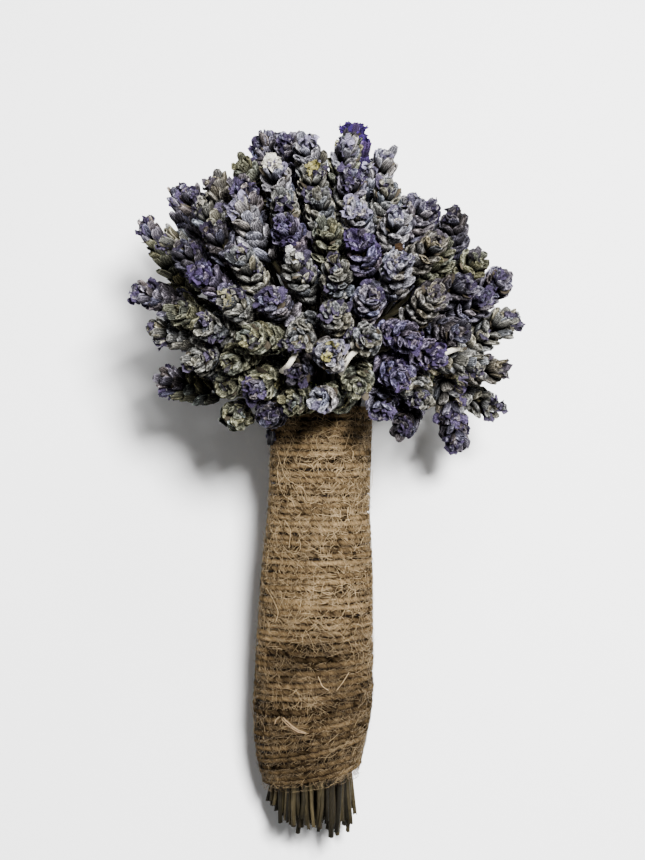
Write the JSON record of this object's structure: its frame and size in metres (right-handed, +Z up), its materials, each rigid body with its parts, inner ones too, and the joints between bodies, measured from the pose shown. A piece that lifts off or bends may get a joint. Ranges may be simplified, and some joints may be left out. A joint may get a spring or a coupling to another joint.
{
  "type": "dried lavender bunch",
  "caption": "Domed bunch of dried lavender flower spikes on long cut stems, bound with jute twine into a handle, lying down.",
  "frame": {"origin": "on the surface that the bunch lies on, below the middle of its bounding box", "axes": "+Y along the bunch from the cut ends to the flowers, +Z up, +X to the right seen from above with the flowers ahead"},
  "size_m": [0.1379, 0.25, 0.1223],
  "materials": {
    "dried_lavender": "dry woolly grey-green calyces with crumpled violet petals, straw-coloured stems",
    "jute_twine": "hairy brown jute twine, unbleached"
  },
  "bodies": {
    "root": {"jute_wrap": "jute_twine", "sprigs_01": "dried_lavender", "sprigs_02": "dried_lavender", "sprigs_03": "dried_lavender", "sprigs_04": "dried_lavender", "sprigs_05": "dried_lavender", "sprigs_06": "dried_lavender", "sprigs_07": "dried_lavender", "sprigs_08": "dried_lavender", "sprigs_09": "dried_lavender", "sprigs_10": "dried_lavender", "sprigs_11": "dried_lavender", "sprigs_12": "dried_lavender", "sprigs_13": "dried_lavender", "sprigs_14": "dried_lavender", "sprigs_15": "dried_lavender", "sprigs_16": "dried_lavender", "sprigs_17": "dried_lavender", "sprigs_18": "dried_lavender", "sprigs_19": "dried_lavender", "sprigs_20": "dried_lavender", "sprigs_21": "dried_lavender", "sprigs_22": "dried_lavender", "sprigs_23": "dried_lavender", "sprigs_24": "dried_lavender", "sprigs_25": "dried_lavender", "sprigs_26": "dried_lavender", "sprigs_27": "dried_lavender", "sprigs_28": "dried_lavender", "sprigs_29": "dried_lavender", "sprigs_30": "dried_lavender", "sprigs_31": "dried_lavender", "sprigs_32": "dried_lavender", "sprigs_33": "dried_lavender", "sprigs_34": "dried_lavender", "sprigs_35": "dried_lavender", "sprigs_36": "dried_lavender", "sprigs_37": "dried_lavender", "sprigs_38": "dried_lavender", "sprigs_39": "dried_lavender", "sprigs_40": "dried_lavender", "sprigs_41": "dried_lavender", "sprigs_42": "dried_lavender", "sprigs_43": "dried_lavender", "sprigs_44": "dried_lavender"}
  },
  "joints": []
}
